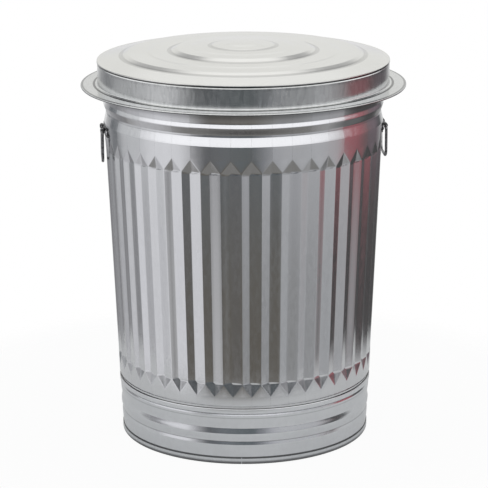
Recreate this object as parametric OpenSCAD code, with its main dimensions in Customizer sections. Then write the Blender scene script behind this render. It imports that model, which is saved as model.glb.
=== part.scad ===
// Round dustbin of thin plated sheet: a tapered fluted drum, a beaded base, a loose lid with a wide
// flat brim, and a wire drop handle on each side.
// Origin: centre of the bottom edge of the foot hoop. +Z is up and the handles are on the X axis.

/* [Drum] */
// Height of the drum's rolled rim above the floor
body_h = 618; // [560:1:742]
// Radius of the drum where the neck starts
drum_top_r = 225.5; // [200:0.5:271]
// Radius of the drum where the base band starts
drum_foot_r = 207.3; // [190:0.1:240]
// Thickness of the drum's sheet
sheet_t = 0.7; // [0.6:0.02:1]
// Distance from the rim down to the start of the neck
neck_h = 96.5; // [94:0.5:110]

/* [Flutes] */
// Number of flutes round the drum
flute_count = 44; // [24:2:60]
// Depth of a flute
flute_depth = 3.0; // [1:0.1:4]
// Distance from the start of the neck down to the flutes' upper points
flute_top_gap = 22.2; // [22:0.5:40]
// Distance from the top of the base band up to the flutes' lower points
flute_foot_gap = 13; // [6:0.5:40]
// Height of a flute's pointed end
flute_point_h = 20.5; // [8:0.5:40]
// Place of the deepest line across a flute, as a part of its width
flute_valley = 0.4; // [0.2:0.05:0.8]
// Angle of the first flute edge from the +X axis
flute_start = 2.7; // [0:0.1:8]

/* [Rim and neck] */
// Radius of the wire inside the rolled rim
rim_wire_r = 2.0; // [1.5:0.1:3]
// Depth of the groove in the neck
neck_groove = 2.7; // [1:0.1:4]

/* [Base] */
// Height of the base band
base_h = 101; // [80:1:130]
// Height of the foot hoop
hoop_h = 11.5; // [9:0.5:18]
// Thickness of the foot hoop
hoop_t = 0.9; // [0.6:0.1:1.5]
// Height of the bin's floor above the ground
floor_z = 14; // [13:0.5:20]
// Thickness of the floor's sheet
floor_t = 0.8; // [0.6:0.1:1.5]
// Depth of the two grooves in the base band
base_groove = 2.0; // [1:0.1:2.5]
// Width of the joint in the foot hoop
hoop_joint_w = 0.8; // [0.5:0.1:2]
// Angle of the hoop's joint from the +X axis
hoop_joint_angle = -96; // [-180:1:180]

/* [Lid] */
// Height of the lid's collar from the brim to the top corner
collar_h = 38.5; // [35:0.5:50]
// Width of the lid's brim outside its collar
brim_w = 26.5; // [15:0.5:40]
// Thickness of the lid's sheet
lid_t = 0.7; // [0.6:0.02:1]
// Height of the lid's centre above its corner
dome_h = 24.6; // [15:0.1:30]
// Radius of the wire inside the rolled edge of the brim
brim_wire_r = 1.0; // [0.8:0.1:1.5]
// Height of the hem that holds the lid's top to its collar
hem_h = 3; // [2:0.5:5]

/* [Handles] */
// Radius of the handle's wire
handle_wire_r = 2.2; // [1.8:0.1:3]
// Distance between the middles of the handle's legs
handle_w = 60; // [54:1:70]
// Distance from the pivot down to the middle of the grip
handle_drop = 50; // [40:1:56]
// Inside bend radius of the grip's corners, measured to the middle of the wire
handle_bend = 12; // [8:1:18]
// Distance from the start of the neck down to the handle's pivot
pivot_gap = 12.5; // [11:0.5:16]
// Thickness of the bracket's strap
strap_t = 1.2; // [0.8:0.1:2]
// Height of the bracket's strap
strap_h = 16; // [14:1:18]
// Radius of the rivets' shanks
rivet_r = 2.4; // [2:0.1:3]

/* [Hidden] */
$fn = 96;

// Clearances
seat_gap = 0.05;       // between pieces that are fastened to each other
run_gap = 0.08;        // between the handle's wire and its bracket, all round
lid_gap = 0.3;         // between the lid and the rim it rests on
lid_side_gap = 1.2;    // between the lid's collar and the rolled rim, all round
wire_gap = 0.05;       // between a wire and the sheet rolled round it
roll_lap = 0.05;       // step where a rolled edge meets its sheet
flute_inset = 0.25;    // step from the plain wall down to the fluted wall

// Heights
neck_z = body_h - neck_h;
flute_top_z = neck_z - flute_top_gap;
flute_foot_z = base_h + flute_foot_gap;
taper = (drum_top_r - drum_foot_r) / (neck_z - base_h);
taper_angle = atan(taper);

// Radius of the drum's plain outer wall at height z
function wall_r(z) = drum_foot_r + taper * (z - base_h);

// Rim
curl_r = rim_wire_r + wire_gap + sheet_t;
neck_top_r = drum_top_r + 2.9;
rim_r = neck_top_r - sheet_t - roll_lap + curl_r;
rim_z = body_h - curl_r;

// Base
tuck_r = drum_foot_r - 2.2;                 // drum's edge, tucked inside the base band
tuck_h = 15;
ridge_h = 9;
ridge_top_z = base_h - 7;
band_top_r = tuck_r + seat_gap + sheet_t;
band_foot_r = band_top_r - 3.5;
hoop_r = band_foot_r + seat_gap + hoop_t;
pan_r = band_foot_r - sheet_t - seat_gap;
pan_dish = 3;                               // the pan's middle stands this much above its edge
hoop_lip_r = pan_r - floor_t - 4;
hoop_joint_a = 2 * asin(hoop_joint_w / 2 / hoop_r);

// Lid
lid_in_r = rim_r + curl_r + lid_side_gap;
collar_r = lid_in_r + lid_t;
lid_corner_r = collar_r + seat_gap + lid_t;
flange_z = body_h + lid_gap;
lid_corner_z = flange_z + 2 * lid_t;
brim_z = lid_corner_z - collar_h;
brim_r = lid_corner_r + brim_w;
edge_roll_r = brim_wire_r + wire_gap + lid_t;
edge_r = brim_r - edge_roll_r;
edge_z = brim_z - edge_roll_r - roll_lap;
brim_bend = 2;                              // bend between the collar and the brim
flange_in_r = rim_r - curl_r - 1;

// Handles
pivot_z = neck_z - pivot_gap;
strap_r = wall_r(pivot_z) + seat_gap + strap_t;
pivot_x = strap_r + handle_wire_r + 0.6;
knuckle_r = handle_wire_r + run_gap + strap_t;
knuckle_len = 12;
stub_bend = 5;
knuckle_end_y = handle_w / 2 - stub_bend - 1;
stub_end_y = knuckle_end_y - knuckle_len - 3;
rivet_y = handle_w / 2 + handle_wire_r + 6;
rivet_a = asin(rivet_y / strap_r);
strap_a = asin((rivet_y + 6) / strap_r);
head_r = rivet_r + 1.9;
head_h = 1.8;

// A ring turned from an outline of [radius, height] points
module turned(outline, angle = 360) {
    rotate_extrude(angle = angle, $fn = 192) polygon(outline);
}

// A sheet of thickness t that follows a list of [radius, height] points on its outer side
function sheet(points, t) = concat(points, [for (i = [len(points) - 1 : -1 : 0]) points[i] - [t, 0]]);

// Places its children on the drum's outer wall, with X along the wall's normal
module on_wall(angle, z) {
    rotate([0, 0, angle])
        translate([wall_r(z), 0, z])
            rotate([0, taper_angle, 0])
                children();
}

// Drum ---------------------------------------------------------------------------------------

// Outline of the neck, from the flutes' upper points to the rolled rim
function neck_points() = [
    [wall_r(flute_top_z), flute_top_z],
    [drum_top_r, neck_z],
    [drum_top_r - 1.05 * neck_groove, neck_z + 13.2],
    [drum_top_r - 1.13 * neck_groove, neck_z + 15],
    [drum_top_r - 1.1 * neck_groove, neck_z + 18],
    [drum_top_r + 0.4, neck_z + 27.2],
    [drum_top_r + 0.6, neck_z + 28.6],
    [drum_top_r + 0.4, neck_z + 30],
    [drum_top_r - 0.6, neck_z + 34.4],
    [drum_top_r - 0.7, neck_z + 35.6],
    [drum_top_r - 0.6, neck_z + 37],
    [drum_top_r + 1.2, neck_z + 49],
    [neck_top_r, neck_z + 60],
    [neck_top_r, rim_z]
];

// Outline of the drum's foot, which is tucked inside the base band
function foot_points() = [
    [tuck_r, base_h - tuck_h],
    [tuck_r, base_h - 4],
    [drum_foot_r, base_h],
    [wall_r(flute_foot_z), flute_foot_z]
];

// One ring of the fluted wall: an edge point and a middle point for each flute
function flute_ring(z, middle, depth, in) = [
    for (k = [0 : flute_count - 1], half = [0, 1])
        let (a = flute_start + (k + (half == 0 ? 0 : middle)) * 360 / flute_count,
             r = wall_r(z) - flute_inset - in - (half == 0 ? 0 : depth))
        [r * cos(a), r * sin(a), z]
];

// Fluted wall between the two rows of points, as one closed skin
module fluted_wall() {
    n = 2 * flute_count;
    z = [flute_foot_z, flute_foot_z + flute_point_h, flute_top_z - flute_point_h, flute_top_z];
    rings = [for (in = [0, sheet_t], i = [0 : 3])
        flute_ring(z[i], (i == 0 || i == 3) ? 0.5 : flute_valley, (i == 0 || i == 3) ? 0 : flute_depth, in)];
    points = [for (ring = rings) each ring];
    // Corner j of flute k on ring i, where j counts edge, middle, next edge
    function p(i, k, j) = i * n + (2 * k + j) % n;
    outer = [for (k = [0 : flute_count - 1]) each [
        [p(0, k, 0), p(1, k, 0), p(0, k, 1)],
        [p(1, k, 0), p(1, k, 1), p(0, k, 1)],
        [p(0, k, 1), p(1, k, 1), p(1, k, 2)],
        [p(0, k, 1), p(1, k, 2), p(0, k, 2)],
        [p(1, k, 0), p(2, k, 0), p(2, k, 1)],
        [p(1, k, 0), p(2, k, 1), p(1, k, 1)],
        [p(1, k, 1), p(2, k, 1), p(2, k, 2)],
        [p(1, k, 1), p(2, k, 2), p(1, k, 2)],
        [p(2, k, 0), p(3, k, 0), p(3, k, 1)],
        [p(2, k, 0), p(3, k, 1), p(2, k, 1)],
        [p(2, k, 1), p(3, k, 1), p(2, k, 2)],
        [p(2, k, 2), p(3, k, 1), p(3, k, 2)]
    ]];
    inner = [for (f = outer) [f[0] + 4 * n, f[2] + 4 * n, f[1] + 4 * n]];
    foot = [for (k = [0 : flute_count - 1], j = [0, 1]) each [
        [p(0, k, j), p(0, k, j + 1), p(4, k, j)],
        [p(0, k, j + 1), p(4, k, j + 1), p(4, k, j)]
    ]];
    top = [for (k = [0 : flute_count - 1], j = [0, 1]) each [
        [p(3, k, j), p(7, k, j), p(3, k, j + 1)],
        [p(3, k, j + 1), p(7, k, j), p(7, k, j + 1)]
    ]];
    polyhedron(points, concat(outer, inner, foot, top), convexity = 10);
}

// The sheet rolled round the rim wire
module rim_curl() {
    rotate_extrude($fn = 192)
        translate([rim_r, rim_z])
            difference() {
                circle(r = curl_r, $fn = 48);
                circle(r = curl_r - sheet_t, $fn = 48);
            }
}

// Holes for the bracket's rivets on the side at the given angle
module rivet_holes(side_angle) {
    for (s = [-1, 1])
        on_wall(side_angle + s * rivet_a, pivot_z)
            rotate([0, 90, 0])
                cylinder(r = rivet_r + seat_gap, h = 20, center = true, $fn = 48);
}

module body_shell() {
    color([0.74, 0.76, 0.79])
        difference() {
            union() {
                fluted_wall();
                turned(sheet(neck_points(), sheet_t));
                turned(sheet(foot_points(), sheet_t));
                rim_curl();
            }
            rivet_holes(0);
            rivet_holes(180);
        }
}

module rim_wire() {
    color([0.45, 0.45, 0.46])
        rotate_extrude($fn = 192)
            translate([rim_r, rim_z])
                circle(r = rim_wire_r, $fn = 48);
}

// Base ---------------------------------------------------------------------------------------

// Outline of the base band, from the foot hoop up to the folded ridge
function band_points() = [
    [band_foot_r, hoop_t],
    [band_foot_r, hoop_h + 2],
    [band_top_r - 2.1, 0.327 * base_h],
    [band_top_r - 1.0 - base_groove, 0.376 * base_h],
    [band_top_r - 1.0 - base_groove, 0.408 * base_h],
    [band_top_r - 1.0, 0.465 * base_h],
    [band_top_r - 0.7, 0.513 * base_h],
    [band_top_r - 0.2 - base_groove, 0.6 * base_h],
    [band_top_r - 0.2 - base_groove, 0.62 * base_h],
    [band_top_r - 0.6, 0.7 * base_h],
    [band_top_r, ridge_top_z - ridge_h - 3],
    [band_top_r, ridge_top_z]
];

module base_band() {
    color([0.72, 0.74, 0.77]) {
        turned(sheet(band_points(), sheet_t));
        // The folded ridge, which covers the joint with the drum
        turned([
            [band_top_r - 0.1, ridge_top_z - ridge_h],
            [band_top_r + 1.1, ridge_top_z - ridge_h + 0.8],
            [band_top_r + 1.4, ridge_top_z - ridge_h / 2],
            [band_top_r + 1.1, ridge_top_z - 0.8],
            [band_top_r - 0.1, ridge_top_z]
        ]);
    }
}

module bottom_pan() {
    color([0.66, 0.68, 0.7])
        turned([
            [0, floor_z - floor_t + pan_dish],
            [0.6 * pan_r, floor_z - floor_t + pan_dish],
            [0.66 * pan_r, floor_z - floor_t],
            [pan_r - floor_t, floor_z - floor_t],
            [pan_r - floor_t, hoop_t],
            [pan_r, hoop_t],
            [pan_r, floor_z],
            [0.66 * pan_r, floor_z],
            [0.6 * pan_r, floor_z + pan_dish],
            [0, floor_z + pan_dish]
        ]);
}

module foot_hoop() {
    color([0.7, 0.71, 0.73])
        rotate([0, 0, hoop_joint_angle + hoop_joint_a / 2])
            turned([
                [hoop_lip_r, 0],
                [hoop_r, 0],
                [hoop_r, hoop_h],
                [hoop_r - hoop_t, hoop_h],
                [hoop_r - hoop_t, hoop_t],
                [hoop_lip_r, hoop_t]
            ], 360 - hoop_joint_a);
}

// Lid ----------------------------------------------------------------------------------------

// Top of the lid's dome from its middle to the flat edge, as [radius, height above the corner]
function dome_points() = [
    [0, dome_h],
    [0.195 * lid_corner_r, 0.985 * dome_h],
    [0.225 * lid_corner_r, 0.875 * dome_h],
    [0.45 * lid_corner_r, 0.82 * dome_h],
    [0.53 * lid_corner_r, 0.51 * dome_h],
    [0.78 * lid_corner_r, 0.53 * dome_h],
    [0.87 * lid_corner_r, 0.25 * dome_h],
    [collar_r - 4, 0]
];

module lid_panel() {
    top = [for (q = dome_points()) [q[0], lid_corner_z + q[1]]];
    under = [for (i = [len(top) - 1 : -1 : 0]) top[i] - [0, lid_t]];
    edge = [
        [lid_corner_r - 0.4, lid_corner_z],
        [lid_corner_r, lid_corner_z - 0.4],
        [lid_corner_r, lid_corner_z - hem_h],
        [lid_corner_r - lid_t, lid_corner_z - hem_h],
        [lid_corner_r - lid_t, lid_corner_z - lid_t]
    ];
    color([0.8, 0.8, 0.77])
        turned(concat(top, edge, under));
}

module lid_collar() {
    bend_in = brim_bend - 0.4 * lid_t;
    color([0.76, 0.77, 0.76]) {
        turned([
            [flange_in_r, flange_z],
            [collar_r - lid_t, flange_z],
            [collar_r - lid_t, brim_z + bend_in],
            [collar_r + bend_in, brim_z - lid_t],
            [edge_r, brim_z - lid_t],
            [edge_r, brim_z],
            [collar_r + brim_bend, brim_z],
            [collar_r, brim_z + brim_bend],
            [collar_r, flange_z + lid_t],
            [flange_in_r, flange_z + lid_t]
        ]);
        rotate_extrude($fn = 192)
            translate([edge_r, edge_z])
                difference() {
                    circle(r = edge_roll_r, $fn = 32);
                    circle(r = edge_roll_r - lid_t, $fn = 32);
                }
    }
}

module lid_edge_wire() {
    color([0.6, 0.6, 0.62])
        rotate_extrude($fn = 192)
            translate([edge_r, edge_z])
                circle(r = brim_wire_r, $fn = 32);
}

// Handles ------------------------------------------------------------------------------------

// A quarter bend of wire of radius r, from the first axis to the second
module wire_bend(r) {
    rotate_extrude(angle = 90)
        translate([r, 0])
            circle(r = handle_wire_r, $fn = 32);
}

// The handle on the +X side, hanging down
module handle() {
    leg = handle_w / 2;
    color([0.4, 0.4, 0.41])
        translate([pivot_x, 0, pivot_z])
            rotate([90, 0, 90])
                for (side = [0, 1])
                    mirror([side, 0, 0]) {
                        translate([stub_end_y, 0, 0])
                            rotate([0, 90, 0])
                                cylinder(r = handle_wire_r, h = leg - stub_bend - stub_end_y, $fn = 32);
                        translate([leg - stub_bend, -stub_bend, 0])
                            wire_bend(stub_bend);
                        translate([leg, handle_bend - handle_drop, 0])
                            rotate([-90, 0, 0])
                                cylinder(r = handle_wire_r, h = handle_drop - handle_bend - stub_bend, $fn = 32);
                        translate([leg - handle_bend, handle_bend - handle_drop, 0])
                            rotate([0, 0, -90])
                                wire_bend(handle_bend);
                        translate([0, -handle_drop, 0])
                            rotate([0, 90, 0])
                                cylinder(r = handle_wire_r, h = leg - handle_bend, $fn = 32);
                    }
}

// Solid that the drum fills at the height of the bracket, with its radius made larger by grow
module drum_core(grow) {
    z0 = pivot_z - strap_h;
    z1 = pivot_z + strap_h;
    turned([[0, z0], [wall_r(z0) + grow, z0], [wall_r(z1) + grow, z1], [0, z1]]);
}

// The bracket on the +X side: a strap with two knuckles
module bracket() {
    z0 = pivot_z - strap_h / 2;
    z1 = pivot_z + strap_h / 2;
    color([0.16, 0.16, 0.17])
        difference() {
            union() {
                rotate([0, 0, -strap_a])
                    turned([
                        [wall_r(z0) + seat_gap, z0],
                        [wall_r(z0) + seat_gap + strap_t, z0],
                        [wall_r(z1) + seat_gap + strap_t, z1],
                        [wall_r(z1) + seat_gap, z1]
                    ], 2 * strap_a);
                difference() {
                    for (side = [0, 1])
                        mirror([0, side, 0])
                            translate([0, knuckle_end_y, pivot_z]) {
                                translate([pivot_x, 0, 0])
                                    rotate([90, 0, 0])
                                        cylinder(r = knuckle_r, h = knuckle_len, $fn = 48);
                                translate([pivot_x - 8, -knuckle_len, -0.8 * knuckle_r])
                                    cube([8, knuckle_len, 1.6 * knuckle_r]);
                            }
                    drum_core(seat_gap + strap_t / 3);
                }
            }
            translate([pivot_x, 0, pivot_z])
                rotate([90, 0, 0])
                    cylinder(r = handle_wire_r + run_gap, h = handle_w, center = true, $fn = 48);
            rivet_holes(0);
        }
}

// One rivet along +Z, with the drum's outer wall at height 0
module rivet() {
    tail_z = -sheet_t - seat_gap;
    head_z = strap_t + 2 * seat_gap;
    rotate_extrude($fn = 48)
        polygon([
            [0, tail_z - 1.4],
            [rivet_r + 0.9, tail_z - 1.4],
            [rivet_r + 1.2, tail_z],
            [rivet_r, tail_z],
            [rivet_r, head_z],
            [head_r, head_z],
            [0.85 * head_r, head_z + 0.6 * head_h],
            [0.5 * head_r, head_z + 0.92 * head_h],
            [0, head_z + head_h]
        ]);
}

// The bracket's two rivets on the +X side
module rivets() {
    color([0.8, 0.8, 0.82])
        for (s = [-1, 1])
            on_wall(s * rivet_a, pivot_z)
                rotate([0, 90, 0])
                    rivet();
}

module handle_left() { rotate([0, 0, 180]) handle(); }
module handle_right() { handle(); }
module bracket_left() { rotate([0, 0, 180]) bracket(); }
module bracket_right() { bracket(); }
module rivets_left() { rotate([0, 0, 180]) rivets(); }
module rivets_right() { rivets(); }

body_shell();
rim_wire();
base_band();
bottom_pan();
foot_hoop();
lid_panel();
lid_collar();
lid_edge_wire();
handle_left();
handle_right();
bracket_left();
bracket_right();
rivets_left();
rivets_right();
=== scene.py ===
"""A round dustbin of plated sheet: fluted drum, beaded base, loose lid with a flat brim, wire handles.

Sizes are in millimetres and become metres when a mesh is made. The bin's axis is +Z, the handles are
on the X axis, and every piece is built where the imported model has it.
"""
import logging
import math
from dataclasses import dataclass
from enum import Enum
from typing import Any, List, Sequence, Tuple, Union

import bpy
import numpy as np
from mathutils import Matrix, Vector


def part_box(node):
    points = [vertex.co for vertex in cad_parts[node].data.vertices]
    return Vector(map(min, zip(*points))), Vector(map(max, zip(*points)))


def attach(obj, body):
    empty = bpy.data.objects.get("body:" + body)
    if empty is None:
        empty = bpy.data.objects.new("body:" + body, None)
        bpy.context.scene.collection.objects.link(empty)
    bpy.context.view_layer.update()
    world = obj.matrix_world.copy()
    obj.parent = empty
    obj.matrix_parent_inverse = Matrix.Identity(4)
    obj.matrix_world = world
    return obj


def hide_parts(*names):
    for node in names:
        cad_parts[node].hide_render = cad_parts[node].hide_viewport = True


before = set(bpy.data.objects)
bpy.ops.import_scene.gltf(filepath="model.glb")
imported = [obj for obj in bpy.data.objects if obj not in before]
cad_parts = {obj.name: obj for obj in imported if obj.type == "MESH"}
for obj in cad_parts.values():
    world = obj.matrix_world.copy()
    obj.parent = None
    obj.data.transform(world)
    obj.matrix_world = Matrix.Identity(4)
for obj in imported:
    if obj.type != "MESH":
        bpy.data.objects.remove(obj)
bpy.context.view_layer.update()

LOG = logging.getLogger("dustbin")

MM = 0.001
TURN = 2.0 * math.pi
SEAT_GAP = 0.05  # between pieces that are fastened to each other
RUN_GAP = 0.08  # between a handle's wire and its knuckles, all round

Colour = Tuple[float, float, float]
Corner = Tuple[float, float, float]
Stop = Tuple[float, Colour]
Skin = Tuple[np.ndarray, List[np.ndarray]]
Socket = bpy.types.NodeSocket


class Body(Enum):
    """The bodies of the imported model."""

    BIN = "bin"
    LID = "lid"
    LEFT_HANDLE = "left_handle"
    RIGHT_HANDLE = "right_handle"


class Slot(Enum):
    """The finishes that the record names."""

    BRIGHT_ZINC = "bright_zinc"
    DULL_ZINC = "dull_zinc"
    WIRE_STEEL = "wire_steel"
    BRACKET_STEEL = "bracket_steel"
    RIVET_STEEL = "rivet_steel"


class Side(Enum):
    """Which side of the bin a handle hangs on, as the sign of its X."""

    LEFT = -1
    RIGHT = 1


# Frame -----------------------------------------------------------------------------------------


def low(node: str) -> np.ndarray:
    """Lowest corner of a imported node's box, in millimetres."""
    return np.array(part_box(node)[0]) / MM


def high(node: str) -> np.ndarray:
    """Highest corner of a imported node's box, in millimetres."""
    return np.array(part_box(node)[1]) / MM


# Outlines --------------------------------------------------------------------------------------


def rounded(corners: Sequence[Corner], step: float = 8.0) -> np.ndarray:
    """Rounds the inner corners of an open outline with arcs.

    Args:
        corners: radius, height and fillet radius of each corner, in millimetres.
        step: largest turn between two points of an arc, in degrees.

    Returns:
        The outline's points as rows of radius and height.
    """
    path = [np.array(corners[0][:2], float)]
    for before, here, after in zip(corners, corners[1:], corners[2:]):
        a, b, c = (np.array(p[:2], float) for p in (before, here, after))
        back, ahead = a - b, c - b
        back_len, ahead_len = np.linalg.norm(back), np.linalg.norm(ahead)
        back, ahead = back / back_len, ahead / ahead_len
        turn = math.pi - math.acos(float(np.clip(back @ ahead, -1.0, 1.0)))
        if turn < 0.004 or here[2] <= 0.0:
            path.append(b)
            continue
        reach = min(here[2] * math.tan(turn / 2), 0.49 * back_len, 0.49 * ahead_len)
        radius = reach / math.tan(turn / 2)
        start, end = b + back * reach, b + ahead * reach
        inward = (back + ahead) / np.linalg.norm(back + ahead)
        centre = b + inward * radius / math.cos(turn / 2)
        count = max(2, math.ceil(math.degrees(turn) / step))
        for k in range(count + 1):
            f = k / count
            spoke = math.sin((1 - f) * turn) * (start - centre) + math.sin(f * turn) * (end - centre)
            path.append(centre + spoke / math.sin(turn))
    path.append(np.array(corners[-1][:2], float))
    return np.array(path)


def arc(centre: Sequence[float], radius: float, first: float, last: float, step: float = 15.0) -> np.ndarray:
    """Points of an arc.

    Args:
        centre: radius and height of the arc's centre.
        radius: the arc's radius.
        first: angle of the first point, in degrees from the outward direction.
        last: angle of the last point.
        step: largest turn between two points, in degrees.

    Returns:
        The arc's points, both ends included.
    """
    count = max(1, math.ceil(abs(last - first) / step))
    angles = np.radians(np.linspace(first, last, count + 1))
    return np.column_stack([centre[0] + radius * np.cos(angles), centre[1] + radius * np.sin(angles)])


def dense(path: np.ndarray, longest: float) -> np.ndarray:
    """Splits the long segments of an outline.

    Args:
        path: the outline's points.
        longest: the longest segment to leave whole.

    Returns:
        The same outline with more points on its long segments.
    """
    points = [path[0]]
    for a, b in zip(path, path[1:]):
        count = max(1, math.ceil(float(np.linalg.norm(b - a)) / longest))
        points.extend(a + (b - a) * k / count for k in range(1, count + 1))
    return np.array(points)


def beside(path: np.ndarray, distance: float) -> np.ndarray:
    """An outline that runs beside another.

    Args:
        path: the outline's points.
        distance: how far to its left the new one runs, seen along it.

    Returns:
        The new outline's points, as many as the old one's.
    """
    steps = np.diff(path, axis=0)
    steps /= np.linalg.norm(steps, axis=1)[:, None]
    before = np.vstack([steps[:1], steps])
    after = np.vstack([steps, steps[-1:]])
    along = before + after
    along /= np.linalg.norm(along, axis=1)[:, None]
    stretch = 1.0 / np.clip(np.sum(along * after, axis=1), 0.6, 1.0)
    return path + np.column_stack([-along[:, 1], along[:, 0]]) * (distance * stretch)[:, None]


def sheet(path: np.ndarray, thickness: float) -> np.ndarray:
    """Closes an outline into a sheet whose other face is on its left."""
    return np.vstack([path, beside(path, thickness)[::-1]])


# Meshes ----------------------------------------------------------------------------------------


def outward(points: np.ndarray, faces: List[np.ndarray]) -> List[np.ndarray]:
    """Turns the faces of a closed skin outwards.

    Args:
        points: the skin's vertices.
        faces: arrays of faces, each with one number of corners.

    Returns:
        The same faces, with their corners counted anticlockwise as seen from outside.
    """
    volume = 0.0
    for block in faces:
        for k in range(1, block.shape[1] - 1):
            a, b, c = (points[block[:, j]] for j in (0, k, k + 1))
            volume += float(np.sum(a * np.cross(b, c)))
    return [block[:, ::-1] for block in faces] if volume < 0.0 else faces


def mesh_object(name: str, skins: Sequence[Skin], crease: float = 40.0) -> bpy.types.Object:
    """Makes a mesh object with smooth faces from one or more closed skins.

    Args:
        name: the object's name.
        skins: vertices in millimetres and arrays of faces, for each skin.
        crease: faces that meet at more than this many degrees stay sharp.

    Returns:
        The new object, linked to the scene.
    """
    first, blocks = 0, []
    for points, faces in skins:
        blocks += [first + block for block in outward(points, faces)]
        first += len(points)
    places = np.vstack([points for points, _ in skins]) * MM
    loops = np.concatenate([block.ravel() for block in blocks])
    sizes = np.concatenate([np.full(len(block), block.shape[1]) for block in blocks])
    mesh = bpy.data.meshes.new(name)
    mesh.vertices.add(len(places))
    mesh.vertices.foreach_set("co", places.astype(np.float32).ravel())
    mesh.loops.add(len(loops))
    mesh.loops.foreach_set("vertex_index", loops.astype(np.int32))
    mesh.polygons.add(len(sizes))
    mesh.polygons.foreach_set("loop_start", np.concatenate([[0], np.cumsum(sizes)[:-1]]).astype(np.int32))
    mesh.update(calc_edges=True)
    mesh.validate()
    mesh.shade_smooth()
    mesh.set_sharp_from_angle(angle=math.radians(crease))
    obj = bpy.data.objects.new(name, mesh)
    bpy.context.scene.collection.objects.link(obj)
    return obj


def grid_faces(rows: int, columns: int, wrap_rows: bool, wrap_columns: bool) -> np.ndarray:
    """Quads between the rows and columns of a grid of vertices.

    Args:
        rows: number of rows.
        columns: number of vertices in a row.
        wrap_rows: whether the last row joins the first.
        wrap_columns: whether the last column joins the first.

    Returns:
        One quad in each row of the array.
    """
    i = np.arange(rows if wrap_rows else rows - 1)[:, None]
    j = np.arange(columns if wrap_columns else columns - 1)[None, :]
    ni, nj = (i + 1) % rows, (j + 1) % columns
    corners = [i * columns + j, i * columns + nj, ni * columns + nj, ni * columns + j]
    shape = (len(i), j.shape[1])
    return np.stack([np.broadcast_to(corner, shape) for corner in corners], axis=-1).reshape(-1, 4)


def turned(outline: np.ndarray, columns: int, opening: float = 0.0, start: float = 0.0) -> Skin:
    """Turns a closed outline round the Z axis.

    Args:
        outline: points of radius and height. Both ends lie on the axis, or neither does.
        columns: number of steps round.
        opening: angle left open, in radians, closed by flat ends.
        start: angle at which the turn starts, in radians.

    Returns:
        The skin.
    """
    poled = outline[0, 0] < 1e-6 and outline[-1, 0] < 1e-6
    rings = outline[1:-1] if poled else outline
    count = columns + 1 if opening else columns
    angles = start + (TURN - opening) * np.arange(count) / columns
    points = np.stack([
        rings[:, :1] * np.cos(angles),
        rings[:, :1] * np.sin(angles),
        np.broadcast_to(rings[:, 1:], (len(rings), count)),
    ], axis=-1).reshape(-1, 3)
    faces = [grid_faces(len(rings), count, not poled, not opening)]
    if poled:
        tip = len(points)
        points = np.vstack([points, [[0, 0, outline[0, 1]], [0, 0, outline[-1, 1]]]])
        ring = np.arange(count)
        last = (len(rings) - 1) * count
        faces.append(np.column_stack([np.full(count, tip), (ring + 1) % count, ring]))
        faces.append(np.column_stack([np.full(count, tip + 1), last + ring, last + (ring + 1) % count]))
    if opening:
        column = np.arange(len(rings)) * count
        faces.append(column[None, ::-1])
        faces.append(column[None, :] + count - 1)
    return points, faces


def lofted(loops: np.ndarray) -> Skin:
    """Skins a row of closed loops and closes both ends.

    Args:
        loops: array of loops, each with the same number of points.

    Returns:
        The skin.
    """
    count, corners = loops.shape[:2]
    ends = np.arange(corners)[None, :]
    faces = [grid_faces(count, corners, False, True), ends[:, ::-1], ends + (count - 1) * corners]
    return loops.reshape(-1, 3), faces


def wire_path(corners: Sequence[Sequence[float]], bends: Sequence[float], step: float = 9.0) -> np.ndarray:
    """Route of a bent wire in one plane.

    Args:
        corners: across and up place of each corner.
        bends: bend radius at each inner corner.
        step: largest turn between two points, in degrees.

    Returns:
        The route's points.
    """
    radii = [0.0, *bends, 0.0]
    return rounded([(c[0], c[1], r) for c, r in zip(corners, radii)], step)


def wire_loops(path: np.ndarray, radius: float, end_round: float, sides: int = 20) -> np.ndarray:
    """Rings of a wire that follows a flat route, in the plane X = 0.

    Args:
        path: the route's points as across (Y) and up (Z).
        radius: the wire's radius.
        end_round: how far the cut ends are rounded over.
        sides: number of sides.

    Returns:
        The rings, ready for lofting.
    """
    along = np.gradient(path, axis=0)
    along /= np.linalg.norm(along, axis=1)[:, None]
    centres, heads = list(path[1:-1]), list(along[1:-1])
    radii = [radius] * len(centres)
    for k in (0.7, 0.35, 0.0):
        inset, size = end_round * k, radius - end_round * (1 - k) ** 2
        centres = [path[0] + along[0] * inset, *centres, path[-1] - along[-1] * inset]
        heads = [along[0], *heads, along[-1]]
        radii = [size, *radii, size]
    angles = TURN * np.arange(sides) / sides
    loops = []
    for centre, size, head in zip(centres, radii, heads):
        side = np.array([-head[1], head[0]])
        loops.append(np.column_stack([
            size * np.sin(angles),
            centre[0] + size * np.cos(angles) * side[0],
            centre[1] + size * np.cos(angles) * side[1],
        ]))
    return np.array(loops)


# Finishes --------------------------------------------------------------------------------------


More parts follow.
